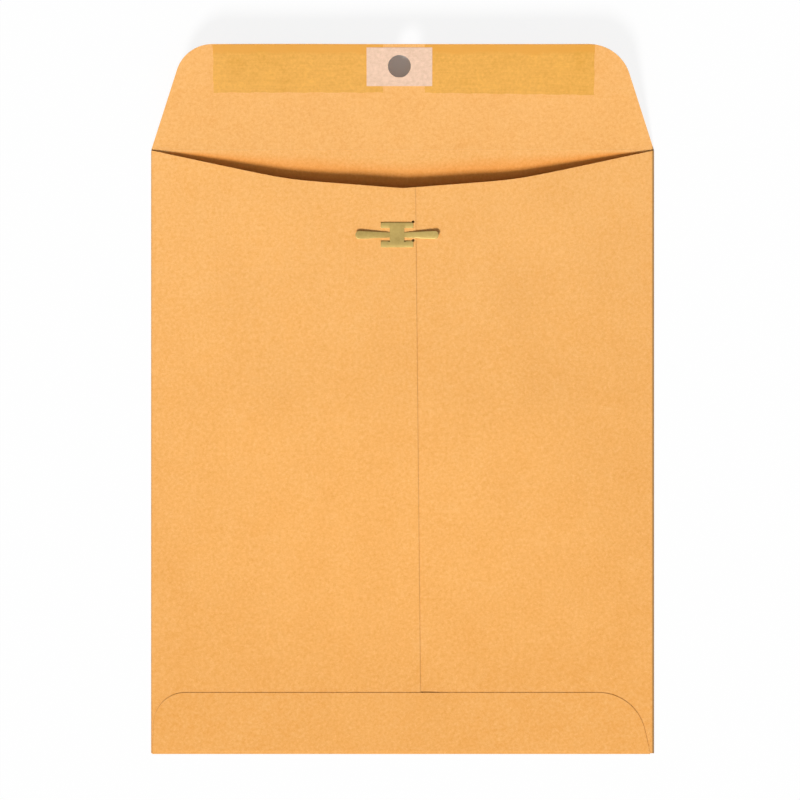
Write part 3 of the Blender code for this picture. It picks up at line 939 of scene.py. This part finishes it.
def lay_gum(name, start, end, phase):
    def place(u, v):
        x = start + (end - start) * u
        low = gum_low - GUM_LEAN * max(x, 0)
        along = low + (gum_high - low) * v
        x = x + run(along, phase) * (1 - u) + run(along, phase + 2) * u
        return on_flap(x, along + run(x, phase + 1) * (1 - v), gum_level)

    return lay_sheet(name, GUM_COLUMNS, GUM_ROWS, place, GUM_FILM)


gum_left = lay_gum("gum_strip_left", GUM_X - GUM_HALF_LENGTH, GUM_X - GUM_BREAK / 2, 0.4)
gum_right = lay_gum("gum_strip_right", GUM_X + GUM_BREAK / 2, GUM_X + GUM_HALF_LENGTH, 1.9)
settle(gum_left, gum_finish, "seal_gum", "flap", "seal_gum_left")
settle(gum_right, gum_finish, "seal_gum", "flap", "seal_gum_right")

# %% [markdown]
# ## Hole patch
# A pale label of smoother paper is stuck round the hole, over the ends of the gum, so that the prongs don't
# tear the flap. It is pinkish against the kraft, with a very fine grain.

# %% Patch finish and patch
PATCH_DEEP = (0.55, 0.36, 0.24, 1)
PATCH_PALE = (0.84, 0.59, 0.445, 1)
PATCH_WIDTH = 33 * MM
PATCH_HEIGHT = 19.8 * MM
PATCH_DROP = 0.3 * MM
PATCH_FILM = 0.13 * MM
PATCH_COLUMNS = 44
PATCH_ROWS = 28


def make_patch_paper():
    material = bpy.data.materials.new("patch_finish")
    tree = new_web(material)
    place = first_node(tree, "TexCoord", "Object")
    mottle = blots(place, 1.9 * MM, 3.0, 0.55)
    grain = blots(place, 0.3 * MM, 2.0, 0.6)
    fibres = step(streaks(place, 0.1, 3 * MM, 0.24 * MM), 0.55, 0.75)
    tone = 0.5 + (mottle - 0.5) * 1.0 + (grain - 0.5) * 0.6 + (fibres - 0.15) * 0.2
    sockets = {
        "Base Color": mix_colours(tone, PATCH_DEEP, PATCH_PALE),
        "Roughness": 0.68 + (mottle - 0.5) * 0.3,
        "Specular IOR Level": 0.3,
        "Normal": bump(grain + fibres * 0.4, 0.03 * MM, 0.3),
    }
    set_surface(tree, "Material", place.node("BsdfPrincipled", {}, sockets))
    return material


def on_patch(u, v):
    x = HOLE_X + PATCH_WIDTH * (u - 0.5)
    along = HOLE_ALONG - PATCH_DROP + PATCH_HEIGHT * (v - 0.5)
    return on_flap(x, along, PAPER / 2 + PATCH_FILM / 2)


patch = lay_sheet("hole_patch_label", PATCH_COLUMNS, PATCH_ROWS, on_patch, PATCH_FILM)
punch(patch, add_hole_punch())
settle(patch, make_patch_paper(), "patch_paper", "flap", "hole_patch")

# %% [markdown]
# ## Brassed metal
# The clasp is thin steel strip with a brass wash: satin, olive gold, rolled along its length and dulled in
# patches by handling, with the right prong a little brighter in colour. It is all metal, so its colour is the
# colour of what it mirrors.

# %% Metal finish
BRASS_DULL = (0.33, 0.228, 0.07, 1)
BRASS_BRIGHT = (0.485, 0.355, 0.12, 1)
BRIGHTER_PAST = 6 * MM
BRIGHTER_SHARE = 0.3


def make_brass():
    material = bpy.data.materials.new("brass_finish")
    tree = new_web(material)
    place = first_node(tree, "TexCoord", "Object")
    patches = blots(place, 2.4 * MM, 3.0, 0.55)
    rolling = streaks(place, 0.0, 6 * MM, 0.12 * MM)
    scratches = step(streaks(place, 0.5, 3 * MM, 0.05 * MM), 0.62, 0.72)
    brighter_right = step(part_of(place, "X"), 0, BRIGHTER_PAST)
    tone = 0.5 + (patches - 0.5) * 1.1 + (rolling - 0.5) * 0.6 + brighter_right * BRIGHTER_SHARE
    sockets = {
        "Base Color": mix_colours(tone, BRASS_DULL, BRASS_BRIGHT),
        "Roughness": 0.52 - (patches - 0.5) * 0.3 + (rolling - 0.5) * 0.2 - scratches * 0.08,
        "Metallic": 1.0,
        "Normal": bump(rolling - scratches * 0.5, 0.012 * MM, 0.4),
    }
    set_surface(tree, "Material", place.node("BsdfPrincipled", {}, sockets))
    return material


brass = make_brass()
print("brass has", len(brass.node_tree.nodes), "nodes")

# %% [markdown]
# ## Clasp plate
# The plate is stamped as an I, and tabs along its bars go through the slits and are clinched inside. A plane
# is cut into strips by bisecting, the two windows beside the web are deleted, the outer corners are rounded,
# and the tabs' edges are drawn out step by step round their bends. Solidify and a small bevel make it metal.

# %% Clasp plate rules
WEB_WIDTH = 7.3 * MM
UPPER_BAR = 2.85 * MM
TAB_RELIEF = 0.7 * MM
TAB_LENGTH = 2.4 * MM
TAB_BEND = 0.3 * MM
TAB_STEPS = 6
PLATE_CORNER = 0.35 * MM
CORNER_CUTS = 4
METAL_EDGE = 0.05 * MM
EDGE_CUTS = 2
SHARP_ANGLE = math.radians(50)
WHOLE_ROW = -1

half_width = CLASP_WIDTH / 2
half_height = CLASP_HEIGHT / 2
half_web = WEB_WIDTH / 2
seat_places = [
    (CLASP_X + sx * half_width, CLASP_Y + sy * half_height) for sx in (-1, 0, 1) for sy in (-1, 0, 1)
]
seat_heights = [WALL_Z + lift(x, y) for x, y in seat_places]
clinch_drop = plate_z - (min(seat_heights) - seat_clear)
lower_row = LOWER_BAR - half_height - TAB_BEND
window_row = half_height - UPPER_BAR
upper_row = half_height - TAB_BEND


def tab_path(direction):
    """A tab's middle line from the plate's edge: over, down through the slit, and round to +Y or -Y."""
    angles = [math.pi / 2 * turn / TAB_STEPS for turn in range(1, TAB_STEPS + 1)]
    over = [(TAB_BEND * math.sin(a), TAB_BEND * (math.cos(a) - 1)) for a in angles]
    turn_y = TAB_BEND + direction * TAB_BEND
    turn_z = TAB_BEND - clinch_drop
    under = [(turn_y - direction * TAB_BEND * math.cos(a), turn_z - TAB_BEND * math.sin(a)) for a in angles]
    end = (turn_y + direction * (TAB_LENGTH - TAB_BEND), -clinch_drop)
    return [*over, (TAB_BEND, turn_z), *under, end]


def make_metal(blank):
    """Gives a folded blank the strip's thickness and its small rounded edges."""
    apply_modifier(blank, "SOLIDIFY", thickness=METAL, offset=0, use_even_offset=True)
    sharp = {"limit_method": "ANGLE", "angle_limit": SHARP_ANGLE}
    apply_modifier(blank, "BEVEL", width=METAL_EDGE, segments=EDGE_CUTS, **sharp)


print("clasp plate lies", round(plate_z / MM, 2), "mm up")
print("its tabs lie", round(clinch_drop / MM, 2), "mm below it")

# %% Cut the plate's strips
drop_selection()
bpy.ops.mesh.primitive_plane_add(size=1)
plate = bpy.context.object
plate.name = "clasp_plate"
bpy.ops.object.mode_set(mode="EDIT")
bpy.ops.mesh.select_all(action="SELECT")
bpy.ops.transform.resize(value=(CLASP_WIDTH, half_height + upper_row, 1))
bpy.ops.transform.translate(value=(0, (upper_row - half_height) / 2, 0))
cuts = [half_web, half_web + TAB_RELIEF, half_width - TAB_INSET]
for cut_x in [-x for x in cuts] + cuts:
    bpy.ops.mesh.select_all(action="SELECT")
    bpy.ops.mesh.bisect(plane_co=(cut_x, 0, 0), plane_no=(1, 0, 0))
for cut_y in (lower_row, window_row):
    bpy.ops.mesh.select_all(action="SELECT")
    bpy.ops.mesh.bisect(plane_co=(0, cut_y, 0), plane_no=(0, 1, 0))
bpy.ops.object.mode_set(mode="OBJECT")
print("plate strips:", len(plate.data.polygons))


# %% Windows and corners
def select_by(piece, kind, wanted):
    """Selects the vertices, edges or faces whose middle and index pass a test."""
    bpy.ops.object.mode_set(mode="EDIT")
    bpy.ops.mesh.select_mode(type=kind)
    bpy.ops.mesh.select_all(action="DESELECT")
    bpy.ops.object.mode_set(mode="OBJECT")
    mesh = piece.data
    items = {"VERT": mesh.vertices, "EDGE": mesh.edges, "FACE": mesh.polygons}[kind]
    for item in items:
        if kind == "EDGE":
            first, second = (mesh.vertices[i].co for i in item.vertices)
            item.select = wanted((first + second) / 2, second - first)
        else:
            item.select = wanted(item.co if kind == "VERT" else item.center)
    bpy.ops.object.mode_set(mode="EDIT")


def beside_web(middle):
    return abs(middle.x) > half_web and lower_row < middle.y < window_row


def outer_corner(place):
    at_end = abs(abs(place.x) - half_width) < METAL_EDGE
    return at_end and min(abs(place.y - y) for y in corner_rows) < METAL_EDGE


corner_rows = (-half_height, lower_row, window_row, upper_row)
select_by(plate, "FACE", beside_web)
bpy.ops.mesh.delete(type="FACE")
select_by(plate, "VERT", outer_corner)
bpy.ops.mesh.bevel(affect="VERTICES", offset=PLATE_CORNER, segments=CORNER_CUTS)
bpy.ops.object.mode_set(mode="OBJECT")
print("plate faces with windows out:", len(plate.data.polygons))


# %% Fold the tabs
def fold_tab(row, inner, outer, path):
    """Draws out the edges on one row, between two distances from the middle, along a path."""

    def on_row(middle, run_of):
        level = abs(run_of.y) < METAL_EDGE and abs(middle.y - row) < METAL_EDGE
        return level and inner < abs(middle.x) < outer

    select_by(plate, "EDGE", on_row)
    last = (0, 0)
    for y, z in path:
        move = {"value": (0, y - last[0], z - last[1])}
        bpy.ops.mesh.extrude_region_move(TRANSFORM_OT_translate=move)
        last = (y, z)
    bpy.ops.object.mode_set(mode="OBJECT")


fold_tab(upper_row, WHOLE_ROW, half_width - TAB_INSET, tab_path(-1))
fold_tab(lower_row, half_web + TAB_RELIEF, half_width - TAB_INSET, tab_path(1))
face_outwards(plate)
for point in plate.data.vertices:
    point.co += Vector((CLASP_X, CLASP_Y, plate_z))
make_metal(plate)
settle(plate, brass, "brassed_metal", "envelope", "clasp_base")

# %% [markdown]
# ## Prongs
# Each prong is a tongue of the same strip that springs from the web's edge, widens to a round tip and has a
# slightly crowned back. It starts as a plane whose root is narrowed and whose far corners are rounded. Bisect
# rules it with lines that can bend, and it is crowned and tilted a few degrees off the paper.

# %% Prong blank
PRONG_LENGTH = 17.3 * MM
PRONG_ROOT_WIDTH = 2.6 * MM
PRONG_TIP_WIDTH = 4.2 * MM
PRONG_TIP_ROUND = 1.95 * MM
TIP_CUTS = 12
PRONG_CROWN = 0.18 * MM
PRONG_REST_ANGLE = math.radians(2.6)
PRONG_BEND = 1.0 * MM
ROOT_LINES = 8
TONGUE_LINES = 14
CROWN_LINES = 9


def rule_lines(axis, places):
    """Cuts the mesh in edit mode with a plane at each place along an axis."""
    for at in places:
        bpy.ops.mesh.select_all(action="SELECT")
        bpy.ops.mesh.bisect(plane_co=axis * at, plane_no=axis)


def cut_prong_blank(name):
    drop_selection()
    bpy.ops.mesh.primitive_plane_add(size=1)
    blank = bpy.context.object
    blank.name = name
    for corner in blank.data.vertices:
        at_root = corner.co.x < 0
        width = PRONG_ROOT_WIDTH if at_root else PRONG_TIP_WIDTH
        corner.co = (0 if at_root else PRONG_LENGTH, math.copysign(width / 2, corner.co.y), 0)
    select_by(blank, "VERT", lambda corner: corner.x > PRONG_LENGTH / 2)
    bpy.ops.mesh.bevel(affect="VERTICES", offset=PRONG_TIP_ROUND, segments=TIP_CUTS)
    roots = [PRONG_BEND * line / ROOT_LINES for line in range(1, ROOT_LINES + 1)]
    rest = [PRONG_BEND + (PRONG_LENGTH - PRONG_BEND) * line / TONGUE_LINES for line in range(1, TONGUE_LINES)]
    rule_lines(Vector((1, 0, 0)), roots + rest)
    spread = PRONG_TIP_WIDTH / (CROWN_LINES + 1)
    rule_lines(Vector((0, 1, 0)), [spread * (line - CROWN_LINES // 2) for line in range(CROWN_LINES)])
    bpy.ops.object.mode_set(mode="OBJECT")
    return blank


print("a prong is", round(PRONG_LENGTH / MM, 1), "mm long")

# %% Shape and hang the prongs
for side, name, body in ((-1, "left_tongue", "left_prong"), (1, "right_tongue", "right_prong")):
    prong = cut_prong_blank(name)
    hinge = Vector((CLASP_X + side * half_web, CLASP_Y, plate_z + METAL / 2))
    for point in prong.data.vertices:
        along, across = point.co.x, 2 * point.co.y / PRONG_TIP_WIDTH
        crown = PRONG_CROWN * (1 - across**2) * smooth(along / PRONG_TIP_WIDTH)
        tilt = Matrix.Rotation(-side * PRONG_REST_ANGLE * smooth(along / PRONG_BEND), 3, "Y")
        point.co = hinge + tilt @ Vector((side * along, point.co.y, crown - METAL / 2))
    face_outwards(prong)
    make_metal(prong)
    settle(prong, brass, "brassed_metal", None, body)
    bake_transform(prong)

# %% [markdown]
# ## Seam glue
# Two films of dried paste hold the pocket together: one between the laps of the seam and one under the bottom
# flap. They are shut in, so only a thin edge could ever show, but they are laid like the sheets, each on the
# paper below it, with a finish that is amber, uneven and a little glossy.

# %% Glue finish
GLUE_DEEP = (0.70, 0.55, 0.33, 1)
GLUE_PALE = (0.88, 0.78, 0.58, 1)


def make_glue():
    material = bpy.data.materials.new("glue_finish")
    tree = new_web(material)
    place = first_node(tree, "TexCoord", "Object")
    pools = blots(place, 5 * MM, 3.0, 0.6)
    sockets = {
        "Base Color": mix_colours(step(pools, 0.35, 0.65), GLUE_DEEP, GLUE_PALE),
        "Roughness": 0.4 + (pools - 0.5) * 0.5,
        "Normal": bump(pools, 0.05 * MM, 0.4),
    }
    set_surface(tree, "Material", place.node("BsdfPrincipled", {}, sockets))
    return material


glue = make_glue()
print("glue has", len(glue.node_tree.nodes), "nodes")

# %% Glue films
GLUE_TOP_INSET = 5 * MM
GLUE_LINES = 4
on_paper = PAPER / 2 + LAYER_GAP + GLUE_FILM / 2


def lay_glue(name, node, columns, rows, top_of, layer):
    """A film over the node's own stretch of the page, on the paper of one layer."""
    low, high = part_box(node)

    def place(u, v):
        x = low.x + (high.x - low.x) * u
        y = low.y + (top_of(x, high.y) - low.y) * v
        return x, y, WALL_Z + lift(x, y) + LAYER_STEP * layer(x) + on_paper

    film = lay_sheet(name, columns, rows, place, GLUE_FILM)
    settle(film, glue, "seam_glue", "envelope", node)


def below_throat(x, top):
    return throat_edge(x) - GLUE_TOP_INSET


lay_glue("seam_glue_film", "centre_seam_glue", GLUE_LINES, PANEL_ROWS, below_throat, lambda x: 0)
lay_glue("foot_glue_film", "bottom_seam_glue", FLAP_COLUMNS, GLUE_LINES, lambda x, top: top, lap_layer)

# %% [markdown]
# ## Floor
# The floor is white and wide. Seen directly it is mostly its own white, so only a faint shadow of the paper
# is left on it. Under the raised flap it keeps most of its shade, because that is what shows through the
# hole.

# %% Floor
FLOOR_SIZE = 8
FLOOR_DROP = 0.05 * MM
FLOOR_PAINT = (0.95, 0.95, 0.95, 1)
FLOOR_GLOW = 0.88
GLOW_UNDER_FLAP = 0.09
SHADE_INSET = 0.8 * MM
SHADE_FADE = 3 * MM
SHADE_SIDES = (0.33 * BODY_WIDTH, 0.39 * BODY_WIDTH)
shade_end = on_flap(0, FLAP_LENGTH, 0).y - SHADE_INSET

drop_selection()
bpy.ops.mesh.primitive_plane_add(size=FLOOR_SIZE, location=(0, 0, -FLOOR_DROP))
floor = bpy.context.object
floor.name = "floor"
floor_finish = bpy.data.materials.new("floor_finish")
floor_web = new_web(floor_finish)
floor_place = first_node(floor_web, "TexCoord", "Object")
floor_across = abs(part_of(floor_place, "X"))
floor_up = part_of(floor_place, "Y")
short_of_edge = 1 - step(floor_up, shade_end - SHADE_FADE, shade_end)
short_of_sides = 1 - step(floor_across, *SHADE_SIDES)
under_flap = step(floor_up, 0, FOLD_Y) * short_of_edge * short_of_sides
glow_share = seen_directly(floor_web) * (FLOOR_GLOW - under_flap * (FLOOR_GLOW - GLOW_UNDER_FLAP))
paint = floor_place.node("BsdfDiffuse", {}, {"Color": FLOOR_PAINT})
glow = floor_place.node("Emission", {}, {"Color": WHITE, "Strength": 1.0})
set_surface(floor_web, "Material", floor_place.node("MixShader", {}, {0: glow_share, 1: paint, 2: glow}))
floor.data.materials.append(floor_finish)
floor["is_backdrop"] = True
print("floor is staged")

# %% [markdown]
# ## Sizes, and the end
# The dressed model is meant to keep the frame's size, so both boxes are printed.

# %% Print the two boxes
made_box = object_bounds()
boxes = {"cad": [list(corner) for corner in cad_box], "visual": [list(corner) for corner in made_box]}
for name, (low, high) in boxes.items():
    print(name, [round((b - a) / MM, 2) for a, b in zip(low, high)], "mm")
